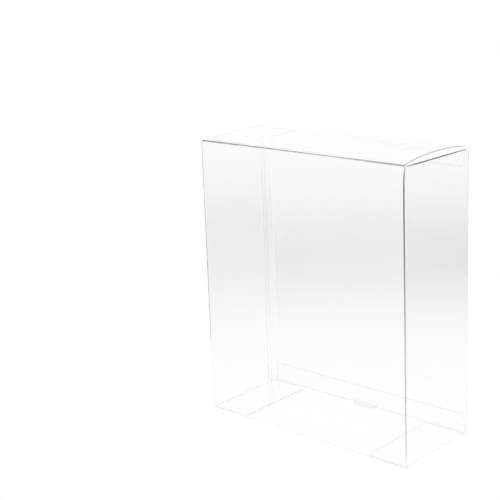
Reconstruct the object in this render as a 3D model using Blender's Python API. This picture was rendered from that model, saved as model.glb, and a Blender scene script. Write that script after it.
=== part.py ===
"""Clear folding box that protects one boxed game: a die-cut film sheet, creased and glued, with a tuck lid.

The sheet is drawn flat in the plane of the front wall, given its thickness and then folded crease by crease,
as the real one is. The front faces -Y, the box stands on its bottom lid at z = 0, and units are metres.
"""

import math

import bmesh
import bpy
from mathutils import Vector
from mathutils.geometry import interpolate_bezier

# Outside of the closed box, up to the lid's hinge crease
BOX_WIDTH = 0.155
BOX_DEPTH = 0.064
BOX_HEIGHT = 0.178

# Film, its bends and the air between layers: pressed together in the base, or sliding past each other
FILM = 0.0004
CORNER_INNER_RADIUS = 0.0003
FOLD_INNER_RADIUS = 0.0003
PRESSED_GAP = 0.00015
SLIDING_GAP = 0.0003
BEND_STEPS = 4

# Glued seam at the back left corner: the tab lies inside the left wall
TAB_WIDTH = 0.0097
TAB_RAISE = 0.0005
TAB_TAPER = 0.0007
LEFT_WALL_SETBACK = 0.0062
GLUE_THICKNESS = 0.0001
GLUE_WIDTH = 0.0020
GLUE_END_MARGIN = 0.0060

# Dust flaps on the side walls, two at the bottom and two at the top
DUST_LENGTH = 0.0285
DUST_FRONT_RELIEF = 0.0003
DUST_BACK_RELIEF = 0.0032
DUST_FRONT_ROUNDING = 0.0025
DUST_BACK_CHAMFER = 0.0030
DUST_SPRING = math.radians(0.5)

# Lids and their tuck flaps
LID_SIDE_CLEARANCE = 0.0003
TUCK_HEIGHT = 0.0125
TUCK_ROUNDING = 0.0040
TUCK_TAPER = 0.0008

# Tongue on the back wall that locks the bottom lid through a slit in its fold
TONGUE_WIDTH = 0.0180
TONGUE_REACH = 0.0042
TONGUE_TAPER = 0.0010
TONGUE_ROUNDING = 0.0012
TONGUE_RELIEF = 0.0006
SLIT_CLEARANCE = 0.0003

# Top lid: a rib along the hinge crease, and a panel that springs up between its folds
HINGE_RIB_RADIUS = 0.0004
HINGE_RIB_SIDES = 12
LID_BACK_LIFT = 0.0012
CROWN_HANDLE_RUNS = (0.22, 0.70)
CROWN_LEFT = (0.0006, 0.0032)
CROWN_RIGHT = (0.0038, 0.0044)
CROWN_ROWS = 14
CROWN_COLUMNS = 8

ARC_STEPS = 4
MERGE = 0.000001
SMOOTH_ANGLE = math.radians(32)
QUARTER = math.pi / 2
RIGHT, LEFT = Vector((1, 0, 0)), Vector((-1, 0, 0))
UP, DOWN = Vector((0, 0, 1)), Vector((0, 0, -1))
INWARD = Vector((0, 1, 0))

CORNER_RADIUS = FILM + CORNER_INNER_RADIUS
FOLD_RADIUS = FILM + FOLD_INNER_RADIUS
CORNER_RUN = CORNER_RADIUS * QUARTER
FOLD_RUN = FOLD_RADIUS * QUARTER
OUTER_PLANE = -BOX_DEPTH / 2

# Where the flat wall panels start and end along the blank, from the middle of the front wall
FRONT_HALF = BOX_WIDTH / 2 - CORNER_RADIUS
SEAM_INSET = FILM + GLUE_THICKNESS
RIGHT_START = FRONT_HALF + CORNER_RUN
RIGHT_END = RIGHT_START + BOX_DEPTH - 2 * CORNER_RADIUS
BACK_START = RIGHT_END + CORNER_RUN
BACK_END = BACK_START + BOX_WIDTH - 2 * CORNER_RADIUS - SEAM_INSET
BACK_MIDDLE = BACK_START + FRONT_HALF
TAB_START = BACK_END + CORNER_RUN
TAB_END = TAB_START + TAB_WIDTH - CORNER_RADIUS
LEFT_START = -RIGHT_START

# Heights of the folds and free edges on the walls
WALL_TOP = BOX_HEIGHT - HINGE_RIB_RADIUS - SLIDING_GAP
FRONT_BOTTOM = FOLD_RADIUS
BACK_BOTTOM = PRESSED_GAP
SIDE_BOTTOM = FILM + PRESSED_GAP + FOLD_RADIUS
SIDE_TOP = BOX_HEIGHT - FILM / 2 - PRESSED_GAP - FOLD_RADIUS

# Lengths along a side wall from its front end: to the back of a dust flap, and to the left wall's free edge
DUST_BACK = BOX_DEPTH - CORNER_RADIUS - DUST_BACK_RELIEF
LEFT_WALL_BACK = BOX_DEPTH - CORNER_RADIUS - LEFT_WALL_SETBACK

# Bottom lid: its panel and tuck flap hang below the front wall in the blank
LID_HALF = FRONT_HALF - LID_SIDE_CLEARANCE
BOTTOM_LID_START = FRONT_BOTTOM - FOLD_RUN
BOTTOM_LID_END = BOTTOM_LID_START - (BOX_DEPTH - FILM - PRESSED_GAP - 2 * FOLD_RADIUS)
BOTTOM_TUCK_START = BOTTOM_LID_END - FOLD_RUN
TUCK_FLAT = TUCK_HEIGHT - FOLD_RADIUS
TONGUE_HALF = TONGUE_WIDTH / 2
TONGUE_TOP = SIDE_BOTTOM - FOLD_RADIUS + FILM
SLIT_HALF = TONGUE_HALF + SLIT_CLEARANCE
SLIT_UP_TUCK = TONGUE_TOP + SLIT_CLEARANCE - FOLD_RADIUS

# Top lid: its pivot lies in the rib, and its tuck flap leans in to swing clear of the back wall
PIVOT = Vector((0.0, OUTER_PLANE + HINGE_RIB_RADIUS, BOX_HEIGHT))
SWING_RADIUS = BOX_DEPTH - HINGE_RIB_RADIUS - FILM - SLIDING_GAP
TOP_LID_DEPTH = SWING_RADIUS - FOLD_RADIUS
TUCK_DROP = TUCK_HEIGHT - LID_BACK_LIFT - FILM / 2
TUCK_LEAN = math.atan2(SWING_RADIUS - math.sqrt(SWING_RADIUS**2 - TUCK_DROP**2), TUCK_FLAT)


def clear_scene():
    for item in list(bpy.data.objects):
        bpy.data.objects.remove(item, do_unlink=True)


def film_material(name):
    """Glossy clear PET film."""
    material = bpy.data.materials.new(name)
    material.use_nodes = True
    shader = material.node_tree.nodes["Principled BSDF"]
    shader.inputs["Base Color"].default_value = (0.95, 0.96, 0.97, 1.0)
    shader.inputs["Roughness"].default_value = 0.06
    shader.inputs["Metallic"].default_value = 0.0
    shader.inputs["IOR"].default_value = 1.57
    shader.inputs["Transmission Weight"].default_value = 1.0
    return material


def rounded(corners):
    """Outline through (across, along, radius) corners, each with a round of that radius."""
    points = []
    for i, (x, z, radius) in enumerate(corners):
        corner = Vector((x, z))
        if radius == 0:
            points.append(tuple(corner))
            continue
        before = (Vector(corners[i - 1][:2]) - corner).normalized()
        after = (Vector(corners[(i + 1) % len(corners)][:2]) - corner).normalized()
        half_angle = before.angle(after) / 2
        centre = corner + (before + after).normalized() * radius / math.sin(half_angle)
        first = (corner + before * radius / math.tan(half_angle) - centre).normalized()
        last = (corner + after * radius / math.tan(half_angle) - centre).normalized()
        for step in range(ARC_STEPS + 1):
            points.append(tuple(centre + first.slerp(last, step / ARC_STEPS) * radius))
    return points


def panel(blank, outline):
    """A flat panel of the blank, from (across, up) points."""
    blank.faces.new([blank.verts.new((x, OUTER_PLANE, z)) for x, z in outline])


def crease(blank, near, far):
    """The strip of film that will bend, as narrow faces between two edges given by their end points."""
    near, far = [Vector(point) for point in near], [Vector(point) for point in far]
    rows = []
    for i in range(BEND_STEPS + 1):
        rows.append([a.lerp(b, i / BEND_STEPS) for a, b in zip(near, far)])
    for row, following in zip(rows, rows[1:]):
        panel(blank, row + following[::-1])


def fold_crease(blank, left, right, level, side):
    """The crease strip of a flap between two places at one level; side is 1 for a flap above, -1 below."""
    beyond = level + side * FOLD_RUN
    crease(blank, ((left, level), (right, level)), ((left, beyond), (right, beyond)))


def add_walls(blank):
    """Front, right, back and left walls, the glue tab and the vertical creases between them."""
    front = [(FRONT_HALF, FRONT_BOTTOM), (FRONT_HALF, WALL_TOP), (-FRONT_HALF, WALL_TOP)]
    panel(blank, front + [(-FRONT_HALF, FRONT_BOTTOM), (-LID_HALF, FRONT_BOTTOM), (LID_HALF, FRONT_BOTTOM)])
    add_side_wall(blank, [RIGHT_START, *dust_root(1), RIGHT_END])
    add_side_wall(blank, [LEFT_START, *dust_root(-1)])
    add_back_wall(blank)
    tab_bottom, tab_top = SIDE_BOTTOM + TAB_RAISE, SIDE_TOP - TAB_RAISE
    tab = [(TAB_START, tab_bottom), (TAB_END, tab_bottom + TAB_TAPER), (TAB_END, tab_top - TAB_TAPER)]
    panel(blank, tab + [(TAB_START, tab_top)])

    front_edge, back_edge = (FRONT_BOTTOM, WALL_TOP), (BACK_BOTTOM, WALL_TOP)
    side_edge, tab_edge = (SIDE_BOTTOM, SIDE_TOP), (tab_bottom, tab_top)
    corner_crease(blank, FRONT_HALF, front_edge, RIGHT_START, side_edge)
    corner_crease(blank, -FRONT_HALF, front_edge, LEFT_START, side_edge)
    corner_crease(blank, RIGHT_END, side_edge, BACK_START, back_edge)
    corner_crease(blank, BACK_END, back_edge, TAB_START, tab_edge)


def corner_crease(blank, near, near_heights, far, far_heights):
    """The crease strip between two walls, whose edges may start and end at different heights."""
    crease(blank, [(near, z) for z in near_heights], [(far, z) for z in far_heights])


def add_side_wall(blank, stations):
    """A side wall from the fold of its bottom dust flap to the fold of its top one."""
    bottom = [(x, SIDE_BOTTOM) for x in stations]
    panel(blank, bottom + [(x, SIDE_TOP) for x in reversed(stations)])


def add_back_wall(blank):
    """The back wall, whose free bottom edge has a notch on each side of the tongue's root."""
    notch = TONGUE_HALF + TONGUE_RELIEF
    bottom = [(BACK_START, BACK_BOTTOM)]
    bottom += [(BACK_MIDDLE - notch, BACK_BOTTOM), (BACK_MIDDLE - notch, SIDE_BOTTOM)]
    bottom += [(BACK_MIDDLE - TONGUE_HALF, SIDE_BOTTOM), (BACK_MIDDLE + TONGUE_HALF, SIDE_BOTTOM)]
    bottom += [(BACK_MIDDLE + notch, SIDE_BOTTOM), (BACK_MIDDLE + notch, BACK_BOTTOM)]
    bottom.append((BACK_END, BACK_BOTTOM))
    panel(blank, bottom + [(BACK_END, WALL_TOP), (BACK_START, WALL_TOP)])


def dust_root(side):
    """Where the dust flaps of the right (1) or left (-1) wall start and end along the blank."""
    length = DUST_BACK if side == 1 else LEFT_WALL_BACK
    return side * (RIGHT_START + DUST_FRONT_RELIEF), side * (RIGHT_START + length)


def add_dust_flap(blank, side, level, up):
    """A dust flap above (up = 1) or below (up = -1) a side wall, with a round front and a cut back corner."""
    front, back = dust_root(side)
    fold_crease(blank, front, back, level, up)
    base = level + up * FOLD_RUN
    tip = base + up * (DUST_LENGTH - FOLD_RADIUS)
    far = side * (RIGHT_START + DUST_BACK)
    corners = [(front, base, 0), (front, tip, DUST_FRONT_ROUNDING)]
    corners += [(far - side * DUST_BACK_CHAMFER, tip, 0), (far, tip - up * DUST_BACK_CHAMFER, 0)]
    shoulder = abs(far - back)
    if shoulder > 0:
        corners.append((far, base + up * shoulder, 0))
    panel(blank, rounded(corners + [(back, base, 0)]))


def tuck_outline(base, side, root):
    """A tuck flap from base towards side, with tapered ends, rounded corners and more root points."""
    tip = base + side * TUCK_FLAT
    half_tip = LID_HALF - TUCK_TAPER
    corners = [(x, z, 0) for x, z in root]
    corners += [(LID_HALF, base, 0), (half_tip, tip, TUCK_ROUNDING), (-half_tip, tip, TUCK_ROUNDING)]
    return rounded(corners + [(-LID_HALF, base, 0)])


def add_bottom_lid(blank):
    """The bottom lid and its tuck flap, with the slit for the tongue along the fold between them."""
    fold_crease(blank, -LID_HALF, LID_HALF, FRONT_BOTTOM, -1)
    inner, outer = BOTTOM_LID_END + SLIT_CLEARANCE, BOTTOM_TUCK_START - SLIT_UP_TUCK
    lid = [(-LID_HALF, BOTTOM_LID_START), (LID_HALF, BOTTOM_LID_START), (LID_HALF, BOTTOM_LID_END)]
    lid += [(SLIT_HALF, BOTTOM_LID_END), (SLIT_HALF, inner)]
    lid += [(-SLIT_HALF, inner), (-SLIT_HALF, BOTTOM_LID_END), (-LID_HALF, BOTTOM_LID_END)]
    panel(blank, lid)
    fold_crease(blank, -LID_HALF, -SLIT_HALF, BOTTOM_LID_END, -1)
    fold_crease(blank, SLIT_HALF, LID_HALF, BOTTOM_LID_END, -1)
    slit = [(-SLIT_HALF, BOTTOM_TUCK_START), (-SLIT_HALF, outer)]
    slit += [(-x, z) for x, z in reversed(slit)]
    panel(blank, tuck_outline(BOTTOM_TUCK_START, -1, slit))


def add_tongue(blank):
    """The locking tongue below the middle of the back wall."""
    left, right = BACK_MIDDLE - TONGUE_HALF, BACK_MIDDLE + TONGUE_HALF
    fold_crease(blank, left, right, SIDE_BOTTOM, -1)
    base = SIDE_BOTTOM - FOLD_RUN
    tip = base - (TONGUE_REACH - FOLD_RADIUS)
    corners = [(left, base, 0), (right, base, 0), (right - TONGUE_TAPER, tip, TONGUE_ROUNDING)]
    panel(blank, rounded(corners + [(left + TONGUE_TAPER, tip, TONGUE_ROUNDING)]))


def thicken(blank, step):
    """Gives the flat blank its thickness, towards step."""
    bmesh.ops.remove_doubles(blank, verts=blank.verts, dist=MERGE)
    grown = bmesh.ops.extrude_face_region(blank, geom=blank.faces[:])
    moved = [item for item in grown["geom"] if isinstance(item, bmesh.types.BMVert)]
    bmesh.ops.translate(blank, verts=moved, vec=step)
    bmesh.ops.recalc_face_normals(blank, faces=blank.faces)


def fold(verts, origin, across, inward, radius, angle):
    """Bends the sheet round a crease that starts at origin, keeping the length of its outer face."""
    for vert in verts:
        offset = vert.co - origin
        run = offset.dot(across)
        if run <= 0:
            continue
        depth = offset.dot(inward)
        turned = min(run / radius, angle)
        rest = run - turned * radius
        arm = radius - depth
        new_run = arm * math.sin(turned) + rest * math.cos(turned)
        new_depth = radius - arm * math.cos(turned) + rest * math.sin(turned)
        vert.co += across * (new_run - run) + inward * (new_depth - depth)


def fold_flap(blank, left, right, level, across, angle=QUARTER):
    """Folds what lies beyond a level crease, between two places along the blank."""
    verts = [vert for vert in blank.verts if left - MERGE <= vert.co.x <= right + MERGE]
    fold(verts, Vector((0, OUTER_PLANE, level)), across, INWARD, FOLD_RADIUS, angle)


def fold_corner(blank, place, across):
    """Folds all of the blank beyond a vertical crease."""
    fold(blank.verts, Vector((place, OUTER_PLANE, 0)), across, INWARD, CORNER_RADIUS, QUARTER)


def fold_blank(blank):
    """Folds the flaps, the left wall, and then the other walls from the tab back to the front wall."""
    fold_flap(blank, -LID_HALF, LID_HALF, BOTTOM_LID_END, DOWN)
    fold_flap(blank, -LID_HALF, LID_HALF, FRONT_BOTTOM, DOWN)
    fold_flap(blank, BACK_MIDDLE - TONGUE_HALF, BACK_MIDDLE + TONGUE_HALF, SIDE_BOTTOM, DOWN)
    for side in (1, -1):
        left, right = sorted(side * place for place in (RIGHT_START, RIGHT_START + DUST_BACK))
        fold_flap(blank, left, right, SIDE_BOTTOM, DOWN, QUARTER + DUST_SPRING)
        fold_flap(blank, left, right, SIDE_TOP, UP)
    fold_corner(blank, -FRONT_HALF, LEFT)
    for place in (BACK_END, RIGHT_END, FRONT_HALF):
        fold_corner(blank, place, RIGHT)


def finish_object(name, blank, location=(0, 0, 0)):
    """Turns a bmesh into a shaded object."""
    mesh = bpy.data.meshes.new(name)
    blank.to_mesh(mesh)
    blank.free()
    mesh.materials.append(film_material(name + "_clear"))
    mesh.shade_smooth()
    mesh.set_sharp_from_angle(angle=SMOOTH_ANGLE)
    item = bpy.data.objects.new(name, mesh)
    item.location = location
    bpy.context.scene.collection.objects.link(item)
    return item


def join_helper(target, helper):
    """Unites a hidden helper solid with the target."""
    helper.hide_render = True
    helper.display_type = "WIRE"
    union = target.modifiers.new(helper.name, "BOOLEAN")
    union.operation = "UNION"
    union.solver = "EXACT"
    union.object = helper


def glue_strip():
    """Strip of glue between the tab and the left wall. It reaches into both, so they become one solid."""
    wall_edge = BOX_DEPTH / 2 - LEFT_WALL_SETBACK
    tab_edge = BOX_DEPTH / 2 - TAB_WIDTH
    inner_face = -BOX_WIDTH / 2 + FILM
    bottom, top = SIDE_BOTTOM + GLUE_END_MARGIN, SIDE_TOP - GLUE_END_MARGIN
    size = Vector((FILM + GLUE_THICKNESS, GLUE_WIDTH, top - bottom))
    centre = Vector((inner_face + GLUE_THICKNESS / 2, (wall_edge + tab_edge) / 2, (bottom + top) / 2))
    strip = bmesh.new()
    bmesh.ops.create_cube(strip, size=1)
    bmesh.ops.scale(strip, verts=strip.verts, vec=size)
    return finish_object("seam_glue", strip, centre)


def make_sleeve():
    """Walls, glued seam, dust flaps, bottom lid and tongue, as one folded sheet."""
    blank = bmesh.new()
    add_walls(blank)
    add_bottom_lid(blank)
    add_tongue(blank)
    for side in (1, -1):
        add_dust_flap(blank, side, SIDE_BOTTOM, -1)
        add_dust_flap(blank, side, SIDE_TOP, 1)
    thicken(blank, INWARD * FILM)
    fold_blank(blank)
    join_helper(finish_object("sleeve", blank), glue_strip())


def crown(handle_heights):
    """Side edge of the lid's panel from the pivot to its back fold, as (depth, height) points."""
    runs = [TOP_LID_DEPTH * share for share in CROWN_HANDLE_RUNS]
    handles = [Vector(handle) for handle in zip(runs, handle_heights)]
    end = Vector((TOP_LID_DEPTH, LID_BACK_LIFT))
    return interpolate_bezier(Vector((0, 0)), *handles, end, CROWN_ROWS + 1)


def lid_blank(depths):
    """The lid as a flat sheet through the pivot: rows at these depths, and the tuck flap behind them."""
    blank = bmesh.new()
    middle = FILM / 2
    columns = [LID_HALF * (2 * i / CROWN_COLUMNS - 1) for i in range(CROWN_COLUMNS + 1)]
    grid = [[blank.verts.new((x, y, middle)) for x in columns] for y in depths]
    for near, far in zip(grid, grid[1:]):
        for i in range(CROWN_COLUMNS):
            blank.faces.new((near[i], near[i + 1], far[i + 1], far[i]))
    tuck_root = [(x, depths[-1]) for x in columns[1:-1]]
    tuck = tuck_outline(depths[-1], 1, tuck_root)
    blank.faces.new([blank.verts.new((x, y, middle)) for x, y in tuck])
    thicken(blank, DOWN * FILM)
    return blank


def crown_lift(place, left, right):
    """How far a point of the flat lid rises, between the crowns of its left and right edges."""
    depth = min(place.y, TOP_LID_DEPTH)
    row = min(range(len(left)), key=lambda i: abs(left[i].x - depth))
    share = place.x / (2 * LID_HALF) + 0.5
    return left[row].y * (1 - share) + right[row].y * share


def hinge_rib():
    """Round rib along the hinge crease, with the pivot in its middle."""
    rib = bmesh.new()
    radius = HINGE_RIB_RADIUS
    bmesh.ops.create_cone(
        rib, cap_ends=True, segments=HINGE_RIB_SIDES, radius1=radius, radius2=radius, depth=2 * FRONT_HALF
    )
    for vert in rib.verts:
        vert.co = Vector((vert.co.z, vert.co.y, -vert.co.x))
    return finish_object("hinge_rib", rib, PIVOT)


def make_top_lid():
    """The lid, its origin on the hinge line: a crowned panel and a tuck flap behind a fold."""
    left, right = crown(CROWN_LEFT), crown(CROWN_RIGHT)
    bend = QUARTER + TUCK_LEAN
    bend_depths = [TOP_LID_DEPTH + FOLD_RADIUS * bend * (i + 1) / BEND_STEPS for i in range(BEND_STEPS)]
    blank = lid_blank([point.x for point in left] + bend_depths)
    lifts = {vert: crown_lift(vert.co, left, right) for vert in blank.verts}
    fold(blank.verts, Vector((0, TOP_LID_DEPTH, FILM / 2)), INWARD, DOWN, FOLD_RADIUS, bend)
    for vert, lift in lifts.items():
        vert.co.z += lift
    join_helper(finish_object("top_lid", blank, PIVOT), hinge_rib())


def main():
    clear_scene()
    make_sleeve()
    make_top_lid()


main()
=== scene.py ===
import math

import bmesh
import bpy
from mathutils import Matrix, Vector


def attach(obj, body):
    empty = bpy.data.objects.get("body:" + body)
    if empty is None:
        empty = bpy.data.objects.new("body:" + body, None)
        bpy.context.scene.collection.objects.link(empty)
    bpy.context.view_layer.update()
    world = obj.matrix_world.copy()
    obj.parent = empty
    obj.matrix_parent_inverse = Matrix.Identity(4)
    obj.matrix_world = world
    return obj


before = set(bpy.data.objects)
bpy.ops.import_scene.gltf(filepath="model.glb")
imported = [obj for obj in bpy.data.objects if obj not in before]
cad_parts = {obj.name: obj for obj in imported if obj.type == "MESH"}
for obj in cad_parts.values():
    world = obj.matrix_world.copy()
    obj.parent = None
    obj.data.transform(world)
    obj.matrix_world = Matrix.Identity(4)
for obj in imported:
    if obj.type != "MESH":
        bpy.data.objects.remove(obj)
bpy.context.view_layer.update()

MM = 0.001
WHITE = (1.0, 1.0, 1.0, 1.0)
BOUNCES = 48

# Camera: its axes, place, lens and shift, fitted to the edges of the box that show in the photo
CAMERA_RIGHT = Vector((0.75856, 0.65098, -0.02838))
CAMERA_UP = Vector((-0.13586, 0.2006, 0.97021))
CAMERA_BACK = Vector((0.63728, -0.73211, 0.2406))
CAMERA_PLACE = Vector((0.44153, -0.54625, 0.30104))
CAMERA_LENS = 85.19
CAMERA_SENSOR = 36
CAMERA_SHIFT = (-0.08, -0.045)
CAMERA_NEAR = 0.01

# The box: half its depth, the film's thickness, and how exactly a cut edge is as wide as the film is thick
HALF_DEPTH = 32.0 * MM
FILM = 0.4 * MM
FILM_TOLERANCE = 0.01 * MM

# The strip of film in the hinge crease, in mm: the lid's pivot line, half the strip's length, its outer face, its
# foot on the front wall, the radius of its hollow round the rib, and how far below the pivot its front edge ends
HINGE_Y, HINGE_Z = -31.6, 178.0
STRIP_HALF = 76.8
STRIP_FRONT = -32.0
STRIP_FOOT = 177.31
HOLLOW_RADIUS = 0.43
HOLLOW_LIP = 0.38
HOLLOW_STEPS = 8

# Clear film; the grey of the painted shade in its dark creases; and the white of its whitened creases and dust, the
# creases' share partly painted light
FILM_TINT = (0.9945, 0.9945, 0.9945, 1.0)
CREASE_PAINTED_SHADE = (0.09, 0.09, 0.09, 1.0)
CREASE_WHITE = (0.99, 0.99, 0.99, 1.0)
CREASE_ROUGHNESS = 0.5
FILM_IOR = 1.57

# Dust: grains of a cell pattern, kept only in the patches where a noise is high
DUST_SCALE = 260.0
DUST_GRAIN = (0.075, 0.03)
DUST_PATCH_SCALE = 45.0
DUST_PATCHES = (0.66, 0.72)
DUST_COVER = 0.35

# Relief: long waves, and hair scratches stretched across the film
WAVE_SCALE = 14.0
WAVE_HEIGHT = 0.02
SCRATCH_STRETCH = (3.0, 3.0, 260.0)
SCRATCH_TURN = (0.5, 0.35, 0.2)
SCRATCH_SCALE = 9.0
SCRATCH_LEVELS = (0.70, 0.78)
SCRATCH_HEIGHT = -0.0004
RELIEF_STRENGTH = 0.05
RELIEF_DISTANCE = 0.001

# Die-cut edges: a fine grain in tone and roughness
EDGE_GRAIN_SCALE = 900.0
EDGE_SHADE = (0.96, 0.96, 0.96, 1.0)
EDGE_GRAIN = (0.2, 0.8)
EDGE_ROUGHNESS = (0.35, 0.6)
EDGE_SPECULAR = 0.1

# Their tones as (place, tone), from the box's front to its back; the lid's are painted shade, darker towards its front
SLEEVE_EDGE_TONES = [(0.0, 0.985), (1.0, 0.985)]
LID_EDGE_PAINTED_SHADE = [(0.0, 0.2), (0.12, 0.28), (0.6, 0.3), (0.72, 0.4), (0.86, 0.3), (0.95, 0.7), (1.0, 0.96)]

# Stage: the floor, and the card on it that only reflections see, with its tones from the middle out
FLOOR_SIZE = 20
FLOOR_Z = -0.5 * MM
CARD_RADIUS = 2.0
CARD_PLACE = (20 * MM, 14 * MM, -0.3 * MM)
CARD_SIDES = 128
CARD_TONES = [
    (0.045, 1.0), (0.078, 0.95), (0.094, 0.91), (0.107, 0.86), (0.125, 0.75), (0.145, 0.6), (0.166, 0.37),
    (0.19, 0.16), (0.214, 0.08), (0.245, 0.15), (0.276, 0.3), (0.31, 0.46), (0.35, 0.6), (0.39, 0.7),
    (0.5, 0.82), (1.0, 1.0),
]


def straight(start, end, tone):
    """A crease's path from start to end, with one tone."""
    return [(*start, tone), (*end, tone)]


# Creases as (core, soft, path): half widths in mm, and (x, y, z, tone) of each point of the path in mm
NEAR_UPRIGHT = [
    (77.2, -31.9, 177.2, 0.45), (76.6, -32.0, 172.0, 0.85), (76.5, -32.0, 166.0, 1.0), (76.5, -32.0, 150.0, 1.0),
    (76.65, -32.0, 128.0, 0.95), (76.75, -32.0, 95.0, 0.72), (76.8, -32.0, 60.0, 0.5), (76.85, -32.0, 42.0, 0.52),
    (77.0, -32.0, 12.0, 0.4), (77.15, -31.9, 4.0, 0.15), (77.15, -31.9, 1.2, 0.05), (77.15, -31.9, 0.6, 0.4),
]
RIGHT_TOP_FRONT = [
    (77.3, -31.0, 177.2, 0.0), (77.3, -27.0, 177.25, 0.5), (77.3, -20.0, 177.35, 0.9), (77.2, -5.0, 177.55, 1.0),
]
RIGHT_TOP_BACK = [
    (77.2, -5.0, 177.55, 1.0), (77.0, 17.0, 177.65, 0.95), (76.9, 24.0, 177.65, 0.75), (76.9, 31.5, 177.65, 0.85),
]
RIGHT_BACK_UPRIGHT = [
    (77.3, 31.8, 176.0, 0.12), (77.3, 31.8, 120.0, 0.16), (77.3, 31.8, 80.0, 0.04), (77.3, 31.8, 2.0, 0.0),
]
LEFT_FRONT_UPRIGHT = [
    (-77.3, -31.8, 176.0, 0.1), (-77.3, -31.8, 55.0, 0.1), (-77.3, -31.8, 35.0, 1.0), (-77.3, -31.8, 1.5, 1.0),
]
LID_HINGE = [(10.0, -31.6, 178.0, 0.0), (55.0, -31.6, 178.0, 1.0), (77.0, -31.6, 178.0, 1.0)]
LID_TUCK_EDGE = [(45.0, 30.1, 167.0, 0.0), (71.5, 30.1, 167.0, 0.3), (74.5, 30.2, 168.0, 0.2)]

# Painted shade: dark lines along the creases, standing in for the dark that refraction shows there, their strength set
# along each path
SLEEVE_PAINTED_SHADE = [
    (0.36, 0.53, NEAR_UPRIGHT),
    (0.33, 0.5, RIGHT_TOP_FRONT),
    (0.4, 0.62, RIGHT_TOP_BACK),
    (0.45, 0.7, RIGHT_BACK_UPRIGHT),
]
# Whitened film in the folds, partly their own whitening and partly painted light: its strength is set along each path
# to how light the fold shows
SLEEVE_WHITENED_AND_PAINTED_LIGHT = [
    (0.2, 0.45, straight((77.3, -31.7, 176.0), (77.3, -31.7, 2.0), 0.6)),
    (0.45, 0.7, straight((77.3, 31.8, 176.0), (77.3, 31.8, 1.5), 1.0)),
    (0.45, 0.7, LEFT_FRONT_UPRIGHT),
    (0.45, 0.7, [(-76.8, 31.8, 176.0, 0.15), (-76.8, 31.8, 1.5, 0.1)]),
    (0.5, 0.7, straight((-77.0, -31.8, 0.25), (77.0, -31.8, 0.25), 1.0)),
    (0.5, 0.7, straight((-77.0, 31.25, 0.25), (77.0, 31.25, 0.25), 0.1)),
    (0.5, 0.7, straight((77.3, -31.0, 0.8), (77.3, 28.5, 0.8), 1.0)),
    (0.5, 0.7, straight((-77.3, -31.0, 0.8), (-77.3, 28.5, 0.8), 0.1)),
    (0.5, 0.7, straight((-77.3, -31.0, 177.4), (-77.3, 28.5, 177.4), 0.3)),
]
# Painted shade along the lid's hinge and along the free edge of its tuck
LID_PAINTED_SHADE = [
    (0.25, 0.4, straight((-77.0, -31.6, 178.0), (77.0, -31.6, 178.0), 1.0)),
    (0.33, 0.48, LID_HINGE),
    (0.12, 0.4, LID_TUCK_EDGE),
]
# Whitened film along the lid's back fold, partly its own whitening and partly painted light
LID_WHITENED_AND_PAINTED_LIGHT = [
    (0.45, 0.7, straight((-76.8, 31.1, 179.0), (76.8, 31.1, 179.0), 0.4)),
]


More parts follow.
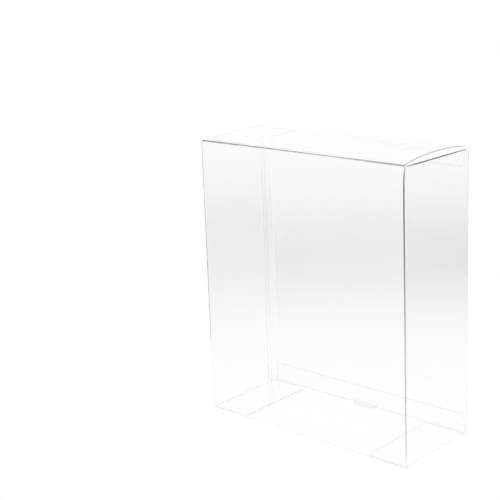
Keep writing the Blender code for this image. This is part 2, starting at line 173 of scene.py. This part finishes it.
class Nodes:
    """Builds one material's node tree with short calls."""

    def __init__(self, name):
        self.material = bpy.data.materials.new(name)
        self.material.use_nodes = True
        self.tree = self.material.node_tree
        self.tree.nodes.clear()
        self.place = self.add("ShaderNodeTexCoord").outputs["Object"]

    def add(self, kind, inputs=None, **settings):
        node = self.tree.nodes.new(kind)
        for key, value in settings.items():
            setattr(node, key, value)
        for key, value in (inputs or {}).items():
            self.put(node.inputs[key], value)
        return node

    def put(self, socket, value):
        if isinstance(value, bpy.types.NodeSocket):
            self.tree.links.new(value, socket)
        else:
            socket.default_value = value

    def math(self, operation, *values, clamp=False):
        inputs = dict(enumerate(values))
        return self.add("ShaderNodeMath", inputs, operation=operation, use_clamp=clamp).outputs[0]

    def vector(self, operation, *values, output="Vector"):
        inputs = dict(enumerate(values))
        return self.add("ShaderNodeVectorMath", inputs, operation=operation).outputs[output]

    def remap(self, value, low, high, to_low=0.0, to_high=1.0, smooth=True):
        kind = "SMOOTHSTEP" if smooth else "LINEAR"
        inputs = {"Value": value, "From Min": low, "From Max": high, "To Min": to_low, "To Max": to_high}
        return self.add("ShaderNodeMapRange", inputs, interpolation_type=kind).outputs[0]

    def curve(self, value, points):
        """A tone that follows (place, tone) points."""
        ramp = self.add("ShaderNodeValToRGB", {"Fac": value})
        elements = ramp.color_ramp.elements
        while len(elements) < len(points):
            elements.new(0.5)
        for element, (place, tone) in zip(elements, points):
            element.position = place
            element.color = (tone, tone, tone, 1.0)
        return ramp.outputs["Color"]

    def noise(self, scale, detail=2.0):
        inputs = {"Vector": self.place, "Scale": scale, "Detail": detail}
        return self.add("ShaderNodeTexNoise", inputs).outputs["Fac"]

    def mix(self, share, first, second, blend="MIX"):
        node = self.add("ShaderNodeMix", {"Factor": share}, data_type="RGBA", blend_type=blend)
        colours = [socket for socket in node.inputs if socket.type == "RGBA"]
        self.put(colours[0], first)
        self.put(colours[1], second)
        return next(socket for socket in node.outputs if socket.type == "RGBA")

    def line(self, start, end, core, soft):
        """The two points' tones within core of the line between them, fading to 0 at soft."""
        first, last = start[3], end[3]
        start, end = Vector(start[:3]) * MM, Vector(end[:3]) * MM
        span = end - start
        offset = self.vector("SUBTRACT", self.place, start)
        along = self.vector("DOT_PRODUCT", offset, span.normalized(), output="Value")
        share = self.math("DIVIDE", along, span.length, clamp=True)
        on_line = self.add("ShaderNodeVectorMath", {0: span, "Scale": share}, operation="SCALE").outputs["Vector"]
        nearest = self.vector("ADD", on_line, start)
        distance = self.vector("DISTANCE", self.place, nearest, output="Value")
        mark = self.remap(distance, soft * MM, core * MM)
        tone = first if first == last else self.remap(share, 0.0, 1.0, first, last, smooth=False)
        return self.math("MULTIPLY", mark, tone)

    def largest(self, values):
        total = values[0]
        for value in values[1:]:
            total = self.math("MAXIMUM", total, value)
        return total

    def one_sided(self, shader):
        """Lets the light through from behind, so that a view from below the floor isn't blocked."""
        backfacing = self.add("ShaderNodeNewGeometry").outputs["Backfacing"]
        clear = self.add("ShaderNodeBsdfTransparent")
        mix = self.add("ShaderNodeMixShader", {0: backfacing})
        self.tree.links.new(shader.outputs[0], mix.inputs[1])
        self.tree.links.new(clear.outputs[0], mix.inputs[2])
        return mix

    def end(self, shader):
        output = self.add("ShaderNodeOutputMaterial")
        self.tree.links.new(shader.outputs[0], output.inputs["Surface"])
        return self.material


def crease_mask(n, creases):
    """How much a point lies in one of the creases."""
    marks = []
    for core, soft, path in creases:
        marks += [n.line(start, end, core, soft) for start, end in zip(path, path[1:])]
    return n.largest(marks)


def film_material(name, painted_shade_creases, whitened_and_painted_light_creases):
    """Clear film, with painted shade in its dark creases and whitened film, partly painted light, in its pale creases,
    hair scratches and a little dust.
    """
    n = Nodes(name)
    painted_shade = crease_mask(n, painted_shade_creases)
    mask = n.math("MAXIMUM", painted_shade, crease_mask(n, whitened_and_painted_light_creases))

    cells = n.add("ShaderNodeTexVoronoi", {"Vector": n.place, "Scale": DUST_SCALE}).outputs["Distance"]
    patches = n.remap(n.noise(DUST_PATCH_SCALE), *DUST_PATCHES)
    dust = n.math("MULTIPLY", n.remap(cells, *DUST_GRAIN), patches)
    opaque = n.largest([mask, n.math("MULTIPLY", dust, DUST_COVER)])

    wave = n.noise(WAVE_SCALE, detail=1.0)
    mapping = {"Vector": n.place, "Scale": SCRATCH_STRETCH, "Rotation": SCRATCH_TURN}
    stretched = n.add("ShaderNodeMapping", mapping).outputs[0]
    hair_inputs = {"Vector": stretched, "Scale": SCRATCH_SCALE, "Detail": 3.0}
    hairs = n.add("ShaderNodeTexNoise", hair_inputs).outputs["Fac"]
    scratches = n.remap(hairs, *SCRATCH_LEVELS)
    relief = n.math("ADD", n.math("MULTIPLY", wave, WAVE_HEIGHT), n.math("MULTIPLY", scratches, SCRATCH_HEIGHT))
    bump_inputs = {"Height": relief, "Strength": RELIEF_STRENGTH, "Distance": RELIEF_DISTANCE}
    bump = n.add("ShaderNodeBump", bump_inputs)

    shader = n.add("ShaderNodeBsdfPrincipled")
    # The white of whitened creases and dust; the creases' share of it is partly painted light
    pale = n.mix(opaque, FILM_TINT, CREASE_WHITE)
    # Painted shade: grey film where the dark creases lie
    n.put(shader.inputs["Base Color"], n.mix(painted_shade, pale, CREASE_PAINTED_SHADE))
    n.put(shader.inputs["Transmission Weight"], n.math("SUBTRACT", 1.0, opaque))
    n.put(shader.inputs["Roughness"], n.remap(opaque, 0.0, 1.0, 0.0, CREASE_ROUGHNESS))
    n.put(shader.inputs["IOR"], FILM_IOR)
    n.put(shader.inputs["Normal"], bump.outputs[0])
    return n.end(shader)


def edge_material(name, tones):
    """Die-cut edges of the film: frosted, with a tone that follows (place, tone) points from front to back, which on
    the lid is painted shade.
    """
    n = Nodes(name)
    grain = n.noise(EDGE_GRAIN_SCALE)
    depth = n.add("ShaderNodeSeparateXYZ", {0: n.place}).outputs["Y"]
    # On the lid this tone is painted shade, darker towards the front
    tone = n.curve(n.remap(depth, -HALF_DEPTH, HALF_DEPTH, smooth=False), tones)
    darker = n.mix(1.0, tone, EDGE_SHADE, blend="MULTIPLY")
    shader = n.add("ShaderNodeBsdfPrincipled")
    n.put(shader.inputs["Base Color"], n.mix(grain, darker, tone))
    n.put(shader.inputs["Roughness"], n.remap(grain, *EDGE_GRAIN, *EDGE_ROUGHNESS))
    n.put(shader.inputs["Specular IOR Level"], EDGE_SPECULAR)
    return n.end(shader)


def dress(node, film, edge):
    """Gives a CAD node its film material, and its cut edges theirs: faces with a side as long as the film is thick."""
    mesh = node.data
    mesh.materials.clear()
    mesh.materials.append(film)
    mesh.materials.append(edge)
    for face in mesh.polygons:
        corners = [mesh.vertices[i].co for i in face.vertices]
        sides = [(a - b).length for a, b in zip(corners, corners[1:] + corners[:1])]
        face.material_index = int(any(abs(side - FILM) < FILM_TOLERANCE for side in sides))
    node.visible_shadow = False


def hinge_crease_profile():
    """The strip's cross-section as (y, z) in mm, hollowed round the lid's rib so that the lid turns in it."""
    profile = [(STRIP_FRONT, HINGE_Z - HOLLOW_LIP), (STRIP_FRONT, STRIP_FOOT), (HINGE_Y, STRIP_FOOT)]
    first, last = math.pi / 2, math.asin(HOLLOW_LIP / HOLLOW_RADIUS)
    for step in range(HOLLOW_STEPS + 1):
        angle = first + (last - first) * step / HOLLOW_STEPS
        profile.append((HINGE_Y - HOLLOW_RADIUS * math.cos(angle), HINGE_Z - HOLLOW_RADIUS * math.sin(angle)))
    return profile


def add_hinge_crease(film):
    """The creased film between the front wall's top and the lid's rib."""
    profile = hinge_crease_profile()
    blank = bmesh.new()
    left, right = (
        [blank.verts.new((x * MM, y * MM, z * MM)) for y, z in profile] for x in (-STRIP_HALF, STRIP_HALF)
    )
    for i in range(len(profile)):
        j = (i + 1) % len(profile)
        blank.faces.new((left[i], left[j], right[j], right[i]))
    blank.faces.new(left)
    blank.faces.new(right)
    bmesh.ops.recalc_face_normals(blank, faces=blank.faces)
    mesh = bpy.data.meshes.new("hinge_crease")
    blank.to_mesh(mesh)
    blank.free()
    mesh.materials.append(film)
    strip = bpy.data.objects.new("hinge_crease", mesh)
    bpy.context.scene.collection.objects.link(strip)
    strip.visible_shadow = False
    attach(strip, "box")


def light_material(name, tone=None):
    """White light from the upper side, or light whose colour tone() builds."""
    n = Nodes(name)
    shader = n.add("ShaderNodeEmission", {"Strength": 1.0})
    if tone:
        n.put(shader.inputs["Color"], tone(n))
    return n.end(n.one_sided(shader))


def card_tone(n):
    """Rings of grey for a single reflection that no diffuse bounce comes before, and white for all other rays."""
    reach = n.math("DIVIDE", n.vector("LENGTH", n.place, output="Value"), CARD_RADIUS)
    path = n.add("ShaderNodeLightPath").outputs
    single = n.math("COMPARE", path["Glossy Depth"], 1.0, 0.5)
    reflected = n.math("MULTIPLY", single, n.math("LESS_THAN", path["Diffuse Depth"], 0.5))
    return n.mix(reflected, WHITE, n.curve(reach, CARD_TONES))


def add_stage():
    world = bpy.data.worlds.new("studio")
    bpy.context.scene.world = world
    world.use_nodes = True
    world.node_tree.nodes["Background"].inputs["Color"].default_value = WHITE

    bpy.ops.mesh.primitive_plane_add(size=FLOOR_SIZE, location=(0, 0, FLOOR_Z))
    floor = bpy.context.object
    floor.name = "floor"
    floor.data.materials.append(light_material("floor"))

    bpy.ops.mesh.primitive_circle_add(
        vertices=CARD_SIDES, radius=CARD_RADIUS, fill_type="NGON", location=CARD_PLACE
    )
    card = bpy.context.object
    card.name = "ring_card"
    card.data.materials.append(light_material("ring_card", card_tone))
    card.visible_camera = False
    card.visible_diffuse = False
    card.visible_shadow = False


def add_camera():
    lens = bpy.data.cameras.new("camera")
    camera = bpy.data.objects.new("camera", lens)
    bpy.context.scene.collection.objects.link(camera)
    place = Matrix((CAMERA_RIGHT, CAMERA_UP, CAMERA_BACK)).transposed().to_4x4()
    place.translation = CAMERA_PLACE
    camera.matrix_world = place
    lens.lens = CAMERA_LENS
    lens.sensor_width = CAMERA_SENSOR
    lens.shift_x, lens.shift_y = CAMERA_SHIFT
    lens.clip_start = CAMERA_NEAR
    bpy.context.scene.camera = camera


sleeve_film = film_material("sleeve_film", SLEEVE_PAINTED_SHADE, SLEEVE_WHITENED_AND_PAINTED_LIGHT)
dress(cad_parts["sleeve"], sleeve_film, edge_material("sleeve_edge", SLEEVE_EDGE_TONES))
add_hinge_crease(sleeve_film)
lid_film = film_material("lid_film", LID_PAINTED_SHADE, LID_WHITENED_AND_PAINTED_LIGHT)
dress(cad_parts["top_lid"], lid_film, edge_material("lid_edge", LID_EDGE_PAINTED_SHADE))
add_stage()
add_camera()

bpy.context.scene.view_settings.view_transform = "Standard"
cycles = bpy.context.scene.cycles
cycles.max_bounces = cycles.diffuse_bounces = cycles.glossy_bounces = cycles.transmission_bounces = BOUNCES
